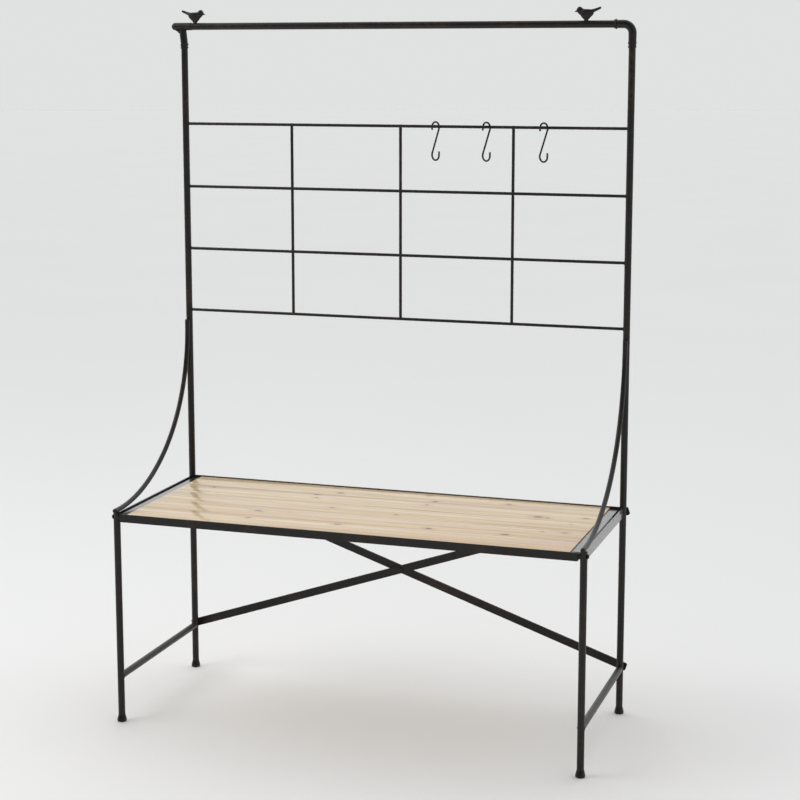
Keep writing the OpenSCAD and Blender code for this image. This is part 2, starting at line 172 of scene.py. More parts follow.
class Nodes:
    """A material's node tree, with short calls for the nodes used here."""

    def __init__(self, name):
        self.material = bpy.data.materials.new(name)
        self.material.use_nodes = True
        self.tree = self.material.node_tree
        self.tree.nodes.clear()
        output = self.tree.nodes.new("ShaderNodeOutputMaterial")
        self.shader = self.tree.nodes.new("ShaderNodeBsdfPrincipled")
        self.tree.links.new(self.shader.outputs["BSDF"], output.inputs["Surface"])
        self.place = self.tree.nodes.new("ShaderNodeTexCoord").outputs["Object"]

    def set(self, **values):
        """Constants on the shader's own sockets; an underscore stands for a space in a socket's name."""
        for name, value in values.items():
            self.shader.inputs[name.replace("_", " ")].default_value = value

    def link(self, value, socket):
        if isinstance(value, bpy.types.NodeSocket):
            self.tree.links.new(value, socket)
        else:
            socket.default_value = value

    def drive(self, name, value):
        """A texture, or a value, into one of the shader's sockets."""
        self.link(value, self.shader.inputs[name])

    def math(self, operation, a, b):
        node = self.tree.nodes.new("ShaderNodeMath")
        node.operation = operation
        self.link(a, node.inputs[0])
        self.link(b, node.inputs[1])
        return node.outputs[0]

    def vector(self, operation, a, b):
        node = self.tree.nodes.new("ShaderNodeVectorMath")
        node.operation = operation
        self.link(a, node.inputs[0])
        self.link(b, node.inputs[1])
        return node.outputs["Value" if operation == "LENGTH" else "Vector"]

    def mapped(self, where, move=(0, 0, 0), turn=(0, 0, 0), scale=(1, 1, 1)):
        node = self.tree.nodes.new("ShaderNodeMapping")
        self.link(where, node.inputs["Vector"])
        node.inputs["Location"].default_value = move
        node.inputs["Rotation"].default_value = turn
        node.inputs["Scale"].default_value = scale
        return node.outputs["Vector"]

    def noise(self, where, scale, detail=3.0, rough=0.5):
        node = self.tree.nodes.new("ShaderNodeTexNoise")
        self.link(where, node.inputs["Vector"])
        node.inputs["Scale"].default_value = scale
        node.inputs["Detail"].default_value = detail
        node.inputs["Roughness"].default_value = rough
        return node.outputs["Fac"]

    def span(self, value, low, high, to_low=0.0, to_high=1.0, smooth=False):
        """The value carried from one range to another, held at its ends."""
        node = self.tree.nodes.new("ShaderNodeMapRange")
        node.interpolation_type = "SMOOTHSTEP" if smooth else "LINEAR"
        self.link(value, node.inputs["Value"])
        node.inputs["From Min"].default_value = low
        node.inputs["From Max"].default_value = high
        node.inputs["To Min"].default_value = to_low
        node.inputs["To Max"].default_value = to_high
        return node.outputs["Result"]

    def mix(self, factor, a, b):
        node = self.tree.nodes.new("ShaderNodeMix")
        node.data_type = "RGBA"
        self.link(factor, node.inputs[0])
        for value, socket in ((a, node.inputs[6]), (b, node.inputs[7])):
            self.link(value if isinstance(value, bpy.types.NodeSocket) else (*value, 1), socket)
        return node.outputs[2]

    def bump(self, height, distance, strength, under=None):
        node = self.tree.nodes.new("ShaderNodeBump")
        node.inputs["Strength"].default_value = strength
        node.inputs["Distance"].default_value = distance
        self.link(height, node.inputs["Height"])
        if under is not None:
            self.tree.links.new(under, node.inputs["Normal"])
        return node.outputs["Normal"]


def floor_material():
    """Pale matt floor, faintly clouded."""
    n = Nodes("pale_floor")
    cloud = n.noise(n.place, 0.8)
    n.drive("Base Color", n.mix(cloud, (0.878, 0.874, 0.866), (0.908, 0.904, 0.896)))
    n.set(Roughness=0.8)
    return n.material


def iron_material(name, specular, coat, gloss=0.0):
    """Near-black bronze paint on hand-worked iron: mottled, browned where it is rubbed, softly lumpy."""
    n = Nodes(name)
    broad = n.noise(n.place, 11, 3)
    mottle = n.noise(n.place, 75, 5, 0.62)
    fine = n.noise(n.place, 420, 3, 0.6)
    dark = n.mix(mottle, (0.0050, 0.0047, 0.0044), (0.015, 0.0130, 0.0115))
    rubbed = n.math("MULTIPLY", n.span(broad, 0.46, 0.70, smooth=True), n.span(mottle, 0.40, 0.62))
    colour = n.mix(n.math("MULTIPLY", rubbed, 0.55), dark, (0.062, 0.030, 0.021))
    n.drive("Base Color", colour)
    n.drive("Roughness", n.span(mottle, 0.25, 0.75, 0.34 - gloss, 0.54 - gloss))
    n.set(Metallic=0.3, Specular_IOR_Level=specular, Coat_Weight=coat, Coat_Roughness=0.16, Coat_IOR=1.5)
    lumps = n.bump(n.noise(n.place, 55, 2), 0.9 * MM, 0.35)
    n.drive("Normal", n.bump(fine, 0.12 * MM, 0.5, under=lumps))
    return n.material


def steel_material():
    """Zinc-plated screws, with a fine grain and cloudy plating."""
    n = Nodes("plated_steel")
    cloud = n.noise(n.place, 260, 4, 0.6)
    n.drive("Base Color", n.mix(cloud, (0.42, 0.42, 0.43), (0.62, 0.61, 0.58)))
    n.drive("Roughness", n.span(cloud, 0.3, 0.7, 0.24, 0.46))
    n.set(Metallic=1.0)
    n.drive("Normal", n.bump(n.noise(n.place, 1500, 2), 0.04 * MM, 0.6))
    return n.material


def knots_of(n, look, top_z, ripple):
    """How much of each place is knot, and how much is the darker wood that flows round one."""
    knot = 0.0
    halo = 0.0
    for x, y, length in look["knots"]:
        scale = (1 / length, 1.6 / length, 0.3 / length)
        gap = n.mapped(n.vector("SUBTRACT", n.place, (x, y, top_z)), scale=scale)
        rough_edge = n.span(ripple, 0.3, 0.7, -0.35, 0.35)
        away = n.math("ADD", n.vector("LENGTH", gap, (0, 0, 0)), rough_edge)
        knot = n.math("MAXIMUM", n.span(away, 0.45, 1.15, 1.0, 0.0, smooth=True), knot)
        halo = n.math("MAXIMUM", n.span(away, 0.9, 4.2, 1.0, 0.0, smooth=True), halo)
    return knot, halo


def growth_rings(n, look, halo, ripple):
    """The dark share of each growth ring, bent by slow waves in the grain and round the knots."""
    seed = look["pith"]
    slow = n.noise(n.mapped(n.place, move=seed, scale=(1.4, 8, 8)), 1.0, 2)
    wave = n.span(slow, 0.0, 1.0, -11 * MM, 11 * MM)
    shift = n.math("ADD", wave, n.span(ripple, 0.0, 1.0, -1.2 * MM, 1.2 * MM))
    shift = n.math("ADD", shift, n.math("MULTIPLY", halo, 9 * MM))
    offset = n.tree.nodes.new("ShaderNodeCombineXYZ")
    n.link(shift, offset.inputs["Z"])
    bent = n.vector("ADD", n.place, offset.outputs["Vector"])
    rings = n.tree.nodes.new("ShaderNodeTexWave")
    rings.wave_type = "RINGS"
    rings.rings_direction = "X"
    rings.wave_profile = "SAW"
    rings.inputs["Scale"].default_value = look["rings"]
    n.link(n.mapped(bent, move=seed, turn=look["turn"]), rings.inputs["Vector"])
    return n.math("POWER", rings.outputs["Fac"], 2.2)


def seam_shade(n, low, high):
    """A thin shade along the board's two glued edges."""
    at = n.tree.nodes.new("ShaderNodeSeparateXYZ")
    n.link(n.place, at.inputs["Vector"])
    from_front = n.math("SUBTRACT", at.outputs["Y"], low.y)
    from_back = n.math("SUBTRACT", high.y, at.outputs["Y"])
    return n.span(n.math("MINIMUM", from_front, from_back), 0.2 * MM, 1.2 * MM, 0.50, 0.0)


def pine_material(name, low, high, look):
    """Varnished pine: growth rings about a pith line below the board, fibres, knots and pink heartwood."""
    n = Nodes(name)
    tone = look["tone"]
    seed = look["pith"]

    def toned(r, g, b):
        return tone[0] * r, tone[1] * g, tone[2] * b

    ripple = n.noise(n.mapped(n.place, move=seed, scale=(9, 70, 70)), 1.0, 2)
    knot, halo = knots_of(n, look, high.z, ripple)
    late = growth_rings(n, look, halo, ripple)
    fibre = n.noise(n.mapped(n.place, scale=(12, 620, 300)), 1.0, 3, 0.6)
    fine = n.noise(n.mapped(n.place, move=seed, scale=(2.6, 120, 70)), 1.0, 4, 0.62)
    broad = n.noise(n.mapped(n.place, move=seed, scale=(1.3, 48, 30)), 1.0, 3, 0.6)
    cloud = n.noise(n.mapped(n.place, move=seed, scale=(3.2, 16, 9)), 1.0, 3)
    patch = n.math("MULTIPLY", n.span(cloud, 0.50, 0.66, smooth=True), look["pink"])
    wood = n.mix(n.math("MULTIPLY", late, 0.42), tone, toned(0.76, 0.62, 0.44))
    wood = n.mix(n.span(broad, 0.45, 0.62, 0.0, 0.90), wood, toned(0.78, 0.66, 0.50))
    wood = n.mix(n.span(fine, 0.52, 0.66, 0.0, 0.90), wood, toned(0.62, 0.47, 0.33))
    wood = n.mix(patch, wood, (0.58, 0.36, 0.255))
    wood = n.mix(n.span(fibre, 0.40, 0.80, 0.0, 0.22), wood, toned(0.6, 0.55, 0.5))
    wood = n.mix(n.math("MULTIPLY", n.span(halo, 0.35, 1.0), 0.50), wood, (0.48, 0.28, 0.11))
    wood = n.mix(n.math("MULTIPLY", knot, 0.96), wood, (0.165, 0.074, 0.014))
    wood = n.mix(seam_shade(n, low, high), wood, (0.26, 0.165, 0.09))
    n.drive("Base Color", wood)
    n.drive("Roughness", n.span(late, 0.0, 1.0, 0.50, 0.38))
    n.set(Coat_Weight=0.55, Coat_Roughness=0.14, Coat_IOR=1.48)
    ridges = n.bump(late, 0.10 * MM, 0.5)
    n.drive("Normal", n.bump(fibre, 0.05 * MM, 0.5, under=ridges))
    return n.material


# ---- mesh building ----

class Shape:
    """Corners and faces that gather into one mesh."""

    def __init__(self):
        self.verts = []
        self.faces = []

    def add(self, part, place=None):
        """Puts in a part, moved by a matrix if one is given."""
        verts, faces = part
        start = len(self.verts)
        self.verts += [place @ v if place else v for v in verts]
        self.faces += [[start + k for k in face] for face in faces]
        return self

    def parts(self):
        return self.verts, self.faces


def add_piece(name, part, material, body=BENCH, stands_for=(), sharp=40):
    """A piece that rides on a body; edges sharper than the angle in degrees stay crisp."""
    verts, faces = part
    mesh = bpy.data.meshes.new(name)
    mesh.from_pydata([tuple(v) for v in verts], [], faces)
    mesh.polygons.foreach_set("use_smooth", [True] * len(mesh.polygons))
    mesh.set_sharp_from_angle(angle=math.radians(sharp))
    mesh.materials.append(material)
    piece = bpy.data.objects.new(name, mesh)
    bpy.context.scene.collection.objects.link(piece)
    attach(piece, body)
    if stands_for:
        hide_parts(*stands_for)


def pointing(at, along):
    """The placing that puts a turned shape at a point with its own Z along a direction."""
    return Matrix.Translation(at) @ Vector(along).to_track_quat("Z", "Y").to_matrix().to_4x4()


def turned(profile, steps=40):
    """A shape turned about Z from (radius, height) points, closed where the radius is 0."""
    verts, faces, rings = [], [], []
    for r, z in profile:
        count = steps if r > 0 else 1
        rings.append([len(verts) + k for k in range(count)] * (1 if r > 0 else steps))
        verts += [Vector((r * math.cos(math.tau * k / steps), r * math.sin(math.tau * k / steps), z))
                  for k in range(count)]
    for below, above in zip(rings, rings[1:]):
        for k in range(steps):
            m = (k + 1) % steps
            face = [below[k], below[m], above[m], above[k]]
            faces.append([v for i, v in enumerate(face) if v not in face[:i]])
    return verts, faces


def swept(path, radii, sides, closed):
    """A tube along a path with one radius for each point; an open tube has half-round ends."""
    path = [Vector(p) for p in path]
    radii = list(radii)
    if not closed:
        path, radii = with_round_ends(path, radii)
    count = len(path)
    verts, faces = [], []
    normal = None
    for k in range(count):
        back = path[k - 1] if closed or k else path[k]
        ahead = path[(k + 1) % count] if closed or k < count - 1 else path[k]
        along = (ahead - back).normalized()
        normal = normal or along.orthogonal()
        normal = (normal - along * normal.dot(along)).normalized()
        side = along.cross(normal)
        for a in (math.tau * m / sides for m in range(sides)):
            verts.append(path[k] + (normal * math.cos(a) + side * math.sin(a)) * radii[k])
    for k in range(count if closed else count - 1):
        here, after = k * sides, (k + 1) % count * sides
        for m in range(sides):
            w = (m + 1) % sides
            faces.append([here + m, here + w, after + w, after + m])
    if not closed:
        faces.append([m for m in reversed(range(sides))])
        faces.append([(count - 1) * sides + m for m in range(sides)])
    return verts, faces


def with_round_ends(path, radii, steps=4):
    """The path and radii of a tube, with a half-round end added at each end."""
    first, last = [], []
    ends = ((first, path[0], path[1], radii[0]), (last, path[-1], path[-2], radii[-1]))
    for points, end, before, r in ends:
        out = (end - before).normalized()
        for k in range(1, steps + 1):
            a = math.radians(88) * k / steps
            points.append((end + out * r * math.sin(a), r * math.cos(a)))
    first.reverse()
    joined = first + list(zip(path, radii)) + last
    return [p for p, r in joined], [r for p, r in joined]


def weld(path, radius, closed=False, sides=8):
    """A weld bead: a tube along a seam, rippled along its length and uneven from place to place."""
    radii = []
    gone = 0.0
    for k, point in enumerate(path):
        gone += (point - path[k - 1]).length if k else 0.0
        wave = 0.14 * math.sin(math.tau * gone / (1.7 * MM))
        radii.append(radius * (1 + wave + 0.45 * noise.noise(Vector(point) * 170)))
    return swept(path, radii, sides, closed)


def line(start, end, pitch=0.45 * MM):
    """Evenly spaced points from one place to another."""
    start, end = Vector(start), Vector(end)
    count = max(2, int((end - start).length / pitch))
    return [start.lerp(end, k / count) for k in range(count + 1)]


def seam_round(steps, point):
    """A closed seam; point gives the place at each angle."""
    return [Vector(point(math.tau * k / steps)) for k in range(steps)]


def eased_box(low, high, ease):
    """A box between two corners with rounded edges."""
    cube = bmesh.new()
    bmesh.ops.create_cube(cube, size=1)
    spread, middle = high - low, (low + high) / 2
    for v in cube.verts:
        v.co = Vector([v.co[i] * spread[i] + middle[i] for i in range(3)])
    bmesh.ops.bevel(cube, geom=list(cube.edges), offset=ease, segments=3, profile=0.5, affect="EDGES")
    cube.verts.index_update()
    part = [v.co.copy() for v in cube.verts], [[v.index for v in f.verts] for f in cube.faces]
    cube.free()
    return part


# ---- carried-over nodes ----

IRON = iron_material("aged_iron", specular=0.30, coat=0.25)
SMOOTH_IRON = iron_material("smooth_iron", specular=0.60, coat=0.9, gloss=0.08)
STEEL = steel_material()
SMOOTH_NODES = ("back_rail", "end_channel_left", "end_channel_right", "side_bar_left", "side_bar_right")
FLAT_NODES = SMOOTH_NODES + ("front_rail", "support_bar_left", "support_bar_middle", "support_bar_right",
                             "brace_bar_front", "brace_bar_rear")


def dress_nodes():
    """Iron on every carried-over node, and eased edges on the flat bars."""
    for name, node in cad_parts.items():
        iron = SMOOTH_IRON if name in SMOOTH_NODES else IRON
        if not node.material_slots:
            node.data.materials.append(iron)
        for place in node.material_slots:
            place.material = iron
        if name in FLAT_NODES:
            joined = node.modifiers.new("joined", "WELD")
            joined.merge_threshold = 0.01 * MM
            eased = node.modifiers.new("eased", "BEVEL")
            eased.width = 0.45 * MM
            eased.segments = 2
            eased.limit_method = "ANGLE"
            eased.angle_limit = math.radians(50)
            eased.harden_normals = True


# ---- boards ----

# Each board's pith line and the turn of its grain, its rings, its tone, and how pink its heartwood is.
# A knot is (x, y, half length).
BOARDS = {
    1: dict(
        pith=(0.31, 0.27, -0.43), turn=(0, 0.050, 0.030), rings=105,
        tone=(0.735, 0.569, 0.330), pink=0.45,
        knots=[(-0.267, -0.176, 0.0092), (-0.024, -0.168, 0.0115)]),
    2: dict(
        pith=(0.12, 0.02, -0.46), turn=(0, -0.040, 0.040), rings=96,
        tone=(0.704, 0.528, 0.300), pink=0.70,
        knots=[(-0.269, -0.099, 0.0126), (0.209, -0.137, 0.0092), (0.407, -0.135, 0.0103),
               (0.488, -0.080, 0.0057), (0.544, -0.071, 0.0103)]),
    3: dict(
        pith=(0.73, -0.06, -0.44), turn=(0, 0.036, -0.035), rings=120,
        tone=(0.724, 0.564, 0.325), pink=0.40,
        knots=[(-0.098, -0.007, 0.0126), (0.541, 0.015, 0.0057), (0.087, -0.028, 0.0057)]),
    4: dict(
        pith=(0.52, -0.20, -0.41), turn=(0, -0.045, 0.030), rings=100,
        tone=(0.735, 0.579, 0.340), pink=0.40,
        knots=[(-0.489, 0.112, 0.0080), (-0.189, 0.119, 0.0092), (-0.176, 0.083, 0.0069),
               (0.131, 0.098, 0.0092), (0.442, 0.065, 0.0149), (0.468, 0.060, 0.0080),
               (0.564, 0.086, 0.0092)]),
    5: dict(
        pith=(0.91, -0.05, -0.45), turn=(0, 0.040, 0.028), rings=110,
        tone=(0.735, 0.589, 0.355), pink=0.50,
        knots=[(-0.133, 0.156, 0.0092), (0.141, 0.139, 0.0103), (0.335, 0.171, 0.0103),
               (0.105, 0.200, 0.0092)]),
}
BOARD_GAP = 0.1 * MM
BOARD_EASE = 0.45 * MM


def make_boards():
    """Five boards edge to edge, each with grain and knots of its own."""
    gap = Vector((0, BOARD_GAP, 0))
    for number, look in BOARDS.items():
        low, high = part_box(f"board_{number}")
        pine = pine_material(f"pine_{number}", low, high, look)
        part = eased_box(low + gap, high - gap, BOARD_EASE)
        name = f"pine_board_{number}"
        add_piece(name, part, pine, stands_for=[f"board_{number}"], sharp=15)


# ---- fasteners ----

def cross_head(radius, height):
    """A pan head on its flat, with a cross recess in its crown."""
    slot_half, slot_reach, slot_deep = 0.16 * radius, 0.60 * radius, 0.45 * height
    rings = 16
    profile = [(0, 0), (radius * 0.96, 0), (radius, 0.12 * height)]
    for k in range(rings + 1):
        a = math.radians(90) * k / rings
        out = radius * (1 - 0.04 * math.sin(a)) * math.cos(a) ** 0.75
        profile.append((out, height * (0.12 + 0.88 * math.sin(a))))
    profile[-1] = (0, height)
    verts, faces = turned(profile, 64)
    for v in verts:
        near, far = sorted((abs(v.x), abs(v.y)))
        if v.z > height * 0.5 and near < slot_half and far < slot_reach:
            v.z -= slot_deep
    return verts, faces


def hex_head(radius, height):
    """A hexagon head with a chamfered crown on a round washer face."""
    flat = 0.5 * MM
    crown = [(0, flat), (radius, flat), (radius, height - 0.9 * MM), (radius * 0.88, height), (0, height)]
    face = [(0, 0), (radius * 0.98, 0), (radius * 0.98, 0.3 * MM), (radius * 0.9, flat), (0, flat)]
    return Shape().add(turned(crown, 6)).add(turned(face)).parts()


def dome_head(radius, height, lip):
    """A domed head with a short straight lip."""
    profile = [(0, 0), (radius, 0), (radius, lip)]
    profile += [(radius * math.cos(a), lip + (height - lip) * math.sin(a))
                for a in (math.radians(90) * k / 9 for k in range(1, 9))]
    return turned(profile + [(0, height)])


def shank(radius, length):
    """A bolt's plain round body, from the origin up."""
    return turned([(0, 0), (radius, 0), (radius, length), (0, length)], 24)


def make_leg_bolts():
    """Dome-headed bolts through the front legs, each with a washer."""
    low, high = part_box("leg_bolts")
    z = (low.z + high.z) / 2
    washer = [(0, 0), (6.6 * MM, 0), (6.9 * MM, 0.3 * MM), (6.6 * MM, 1.0 * MM), (0, 1.0 * MM)]
    head = dome_head(radius=5.6 * MM, height=3.4 * MM, lip=0.7 * MM)
    body = shank(radius=2.9 * MM, length=22 * MM)
    bolts = Shape()
    for _, x, way in SIDES:
        out = (way, 0, 0)
        face = Vector((x + way * LEG_R, FRONT_Y, z))
        bolts.add(turned(washer), pointing(face, out))
        bolts.add(head, pointing(face + Vector(out) * 1.0 * MM, out))
        bolts.add(body, pointing(face - Vector(out) * 21.5 * MM, out))
    add_piece("front_leg_bolts", bolts.parts(), IRON, stands_for=["leg_bolts"])


def make_arm_bolts():
    """Cross-headed screws that hold the tops of the curved arms to the uprights."""
    low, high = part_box("arm_bolts")
    z = (low.z + high.z) / 2
    head_h = 2.4 * MM
    head = cross_head(radius=4 * MM, height=head_h)
    body = shank(radius=1.95 * MM, length=high.y - low.y - 2.5 * MM)
    bolts = Shape()
    for _, x, _ in SIDES:
        bolts.add(head, pointing((x, low.y + head_h, z), (0, -1, 0)))
        bolts.add(body, pointing((x, low.y + 2 * MM, z), (0, 1, 0)))
    add_piece("arm_screws", bolts.parts(), IRON, stands_for=["arm_bolts"])


def make_brace_fasteners():
    """Hexagon bolts at the brace's ends and a domed rivet where the bars cross."""
    low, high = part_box("brace_spacers")
    spacer_r = 8 * MM
    low_z, high_z = low.z + spacer_r, high.z - spacer_r
    back_face = BACK_Y + LEG_R
    bar_t = high.y - low.y
    hexagon = hex_head(radius=5.5 * MM, height=4.5 * MM)
    start_y = BACK_Y + 3 * MM
    bolts = Shape()
    ends = ((LEFT_X, low_z, 1), (RIGHT_X, high_z, 1), (LEFT_X, high_z, 2), (RIGHT_X, low_z, 2))
    for x, z, layers in ends:
        seat = back_face + layers * bar_t
        bolts.add(hexagon, pointing((x, seat, z), (0, 1, 0)))
        bolts.add(shank(radius=2.9 * MM, length=seat - start_y), pointing((x, start_y, z), (0, 1, 0)))
    add_piece("brace_hex_bolts", bolts.parts(), IRON, stands_for=["brace_bolts"])
    rivet = Shape()
    middle_z = (low_z + high_z) / 2
    head = dome_head(radius=8 * MM, height=3 * MM, lip=0.4 * MM)
    rivet.add(head, pointing((MIDDLE_X, back_face, middle_z), (0, -1, 0)))
    rivet.add(head, pointing((MIDDLE_X, back_face + 2 * bar_t, middle_z), (0, 1, 0)))
    body = shank(radius=3.9 * MM, length=2 * bar_t)
    rivet.add(body, pointing((MIDDLE_X, back_face, middle_z), (0, 1, 0)))
    add_piece("brace_domed_rivet", rivet.parts(), IRON, stands_for=["brace_rivet"])


def make_board_screws():
    """Cross-headed screws that go up through each support bar, one into each board."""
    low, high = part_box("board_screws")
    head_h = 1.8 * MM
    head = cross_head(radius=4 * MM, height=head_h)
    body = shank(radius=1.95 * MM, length=high.z - low.z - head_h)
    screws = Shape()
    for bar in ("left", "middle", "right"):
        x = centre(f"support_bar_{bar}").x
        for number in BOARDS:
            y = centre(f"board_{number}").y
            seat = Vector((x, y, low.z + head_h))
            screws.add(head, pointing(seat, (0, 0, -1)))
            screws.add(body, pointing(seat, (0, 0, 1)))
    add_piece("cross_head_screws", screws.parts(), STEEL, stands_for=["board_screws"])


# The bell of a foot cap in millimetres: (radius, height).
FOOT_BELL = ((10.6, 0), (11.7, 0.6), (12.4, 2.2), (12.5, 3.8), (12.45, 5.4), (12.1, 7.4), (11.5, 9.6),
             (10.9, 11.8), (10.5, 13.6), (10.1, 14.8))


def make_foot_caps():
    """Turned feet: a bell with a rounded lip on the floor, under a short neck round the tube."""
    neck = LEG_R + 0.9 * MM
    for y_name, y in (("back", BACK_Y), ("front", FRONT_Y)):
        for x_name, x, _ in SIDES:
            node = f"foot_cap_{y_name}_{x_name}"
            wide = size(node).x / 2
            tall = size(node).z
            profile = [(0, 0)] + [(min(wide, r * MM), z * MM) for r, z in FOOT_BELL]
            profile += [(neck, 15.4 * MM), (neck, tall - 0.5 * MM), (neck - 0.3 * MM, tall - 0.1 * MM)]
            profile += [(LEG_R + 0.05 * MM, tall), (LEG_R - 0.5 * MM, tall - 2 * MM), (0, tall - 2 * MM)]
            cap = Shape().add(turned(profile, 56), Matrix.Translation((x, y, 0)))
            add_piece(f"turned_{node}", cap.parts(), IRON, stands_for=[node])


# ---- welds ----

def make_trellis_welds():
    """A bead round each trellis rod at the uprights, and a nugget where each stem touches a rod."""
    beads = Shape()
    seam_r = ROD_R + 0.3 * MM
    for z in ROD_HEIGHTS:
        for _, x, way in SIDES:
            def at(a, x=x, z=z, way=way):
                across = seam_r * math.cos(a)
                on_tube = x - way * math.sqrt(LEG_R ** 2 - across ** 2)
                return on_tube, BACK_Y + across, z + seam_r * math.sin(a)
            beads.add(weld(seam_round(72, at), radius=0.95 * MM, closed=True))
        for node in STEM_NODES:
            stem = centre(node)
            touch = (stem.y + BACK_Y) / 2
            for way in (-1, 1):
                side = stem.x + way * 2.5 * MM
                run = line((side, touch, z - 2.6 * MM), (side, touch, z + 2.6 * MM))
                beads.add(weld(run, radius=1.25 * MM))
    add_piece("trellis_welds", beads.parts(), IRON)


def make_frame_welds():
    """Beads where the lower side rails, the side bars, the back rail and the arms meet the legs."""
    beads = Shape()
    rail_z = centre("low_side_rail_left").z
    bar_low, bar_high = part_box("side_bar_left")
    bar_half = size("side_bar_left").x / 2
    back_low, back_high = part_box("back_rail")
    wall_y = back_high.y
    for name, x, way in SIDES:
        for y, inward in ((FRONT_Y, 1), (BACK_Y, -1)):
            def at(a, x=x, y=y, inward=inward):
                across = LEG_R * math.cos(a)
                return (x + across * 1.02, y + inward * math.sqrt(max(0, LEG_R ** 2 - across ** 2)),
                        rail_z + LEG_R * 1.02 * math.sin(a))
            beads.add(weld(seam_round(132, at), radius=1.15 * MM, closed=True))
            reach = math.sqrt(LEG_R ** 2 - bar_half ** 2)
            for face in (-1, 1):
                edge = (x + face * (bar_half + 0.2 * MM), y + inward * reach)
                run = line((*edge, bar_low.z + 1 * MM), (*edge, bar_high.z - 1.2 * MM))
                beads.add(weld(run, radius=1.2 * MM))
        back_x = x - way * math.sqrt(LEG_R ** 2 - (BACK_Y - wall_y) ** 2)
        seam = (back_x - way * 0.5 * MM, wall_y + 0.2 * MM)
        run = line((*seam, back_low.z + 1 * MM), (*seam, back_high.z - 1 * MM))
        beads.add(weld(run, radius=1.2 * MM))
        leg_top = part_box(f"front_leg_{name}")[1].z
        for face in (-1, 1):
            edge = x + face * 2.6 * MM
            seam_z = leg_top + 0.5 * MM
            run = line((edge, FRONT_Y - 7 * MM, seam_z), (edge, FRONT_Y + 7 * MM, seam_z))
            beads.add(weld(run, radius=1.1 * MM))
    add_piece("frame_welds", beads.parts(), IRON)


def uneven_ring(x, z, radius, wander):
    """A ring round an upright whose height wanders; a steady shape of its own at each place."""
    def at(a):
        lift = wander * noise.noise(Vector((2 * math.cos(a), 2 * math.sin(a), 40 * (z + x))))
        return x + radius * math.cos(a), BACK_Y + radius * math.sin(a), z + lift
    return seam_round(96, at)


def make_corner_seams():
    """The collar of the elbow, and the lumpy braze where each corner piece meets its upright."""
    beads = Shape()
    elbow_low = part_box("rail_elbow_right")[0]
    neck_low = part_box("corner_fitting_left")[0]
    rail = centre("top_rail")
    tube = LEG_R + 0.8 * MM
    rings = ((RIGHT_X, elbow_low.z + 0.6 * MM, tube, 1.3 * MM, 2.6 * MM),
             (RIGHT_X, elbow_low.z + 10 * MM, tube, 1.5 * MM, 5.0 * MM),
             (LEFT_X, neck_low.z + 0.6 * MM, tube, 1.2 * MM, 2.6 * MM),
             (LEFT_X, neck_low.z + 9 * MM, tube, 1.3 * MM, 4.5 * MM))
    for x, z, r, bead, wander in rings:
        beads.add(weld(uneven_ring(x, z, r, wander), bead, closed=True))
    rail_r = size("top_rail").z / 2
    for along, out, bead in ((0.6 * MM, 1.3 * MM, 1.0 * MM), (4.0 * MM, 1.6 * MM, 1.5 * MM)):
        def at(a, along=along, r=rail_r + out):
            wander = 0.5 * MM * math.sin(3 * a)
            return elbow_low.x + along + wander, rail.y + r * math.cos(a), rail.z + r * math.sin(a)
        beads.add(weld(seam_round(96, at), bead, closed=True))
    web = ((23 * MM, 8.6 * MM), (17 * MM, 12 * MM), (13 * MM, 17 * MM))
    for y in (-5 * MM, 5 * MM):
        run = [Vector((LEFT_X - out, rail.y + y, rail.z - down)) for out, down in web]
        beads.add(weld(line(run[0], run[1])[:-1] + line(run[1], run[2]), radius=1.7 * MM))
    add_piece("corner_seams", beads.parts(), IRON)


# ---- birds ----

def loft(sections, place, steps=28):
    """A closed form through elliptical sections; place turns (section, across, up) into a point."""
    verts, faces = [], []
    for section in sections:
        for a in (math.tau * k / steps for k in range(steps)):
            verts.append(Vector(place(section, math.cos(a), math.sin(a))) * MM)
    for k in range(len(sections) - 1):
        for m in range(steps):
            w = (m + 1) % steps
            faces.append([k * steps + m, k * steps + w, (k + 1) * steps + w, (k + 1) * steps + m])
    faces.append([m for m in reversed(range(steps))])
    faces.append([(len(sections) - 1) * steps + m for m in range(steps)])
    return verts, faces


def along_body(section, across, up):
    """A point of a section (x, z, half z, half y) that stands across the body's length."""
    x, z, half_z, half_y = section
    return x, half_y * across, z + half_z * up


# The sparrow's sections in millimetres. Trunk and tail: (x, z, half z, half y).
TRUNK = [(-19.5, 22.0, 2.4, 2.8), (-17, 21.0, 5.2, 5.4), (-12, 19.6, 8.2, 7.2), (-5, 19.6, 8.8, 7.9),
         (3, 19.8, 8.9, 8.2), (8, 20.2, 9.2, 8.1), (10.5, 21.4, 10.2, 7.9), (13, 22.6, 11.0, 7.7),
         (15, 23.6, 11.0, 7.5), (17.5, 24.6, 10.2, 7.2), (20, 25.6, 8.8, 6.6), (22, 26.0, 6.9, 5.6),
         (23.8, 25.6, 4.9, 4.2), (25.2, 24.3, 3.4, 3.0), (26.6, 23.0, 2.0, 2.0), (28.6, 22.2, 1.3, 1.3),
         (30.9, 21.5, 0.5, 0.5)]
TAIL = [(-38.6, 31.8, 1.4, 3.2), (-37.4, 31.4, 2.7, 4.0), (-34, 30.2, 3.5, 4.1), (-28, 27.8, 3.8, 3.9),
        (-21, 25.0, 4.6, 4.3), (-13, 22.4, 5.4, 5.2)]
# Foot and belly: (z, x, half x, half y).
BELLY = [(-1.6, 0.0, 4.9, 4.5), (1, 0.0, 5.2, 4.5), (4, 0.1, 8.0, 5.0), (8, 0.2, 11.8, 6.0),
         (12, -0.6, 15.4, 6.9), (16, -1.6, 17.6, 7.7), (20, -1.8, 17.8, 7.9)]
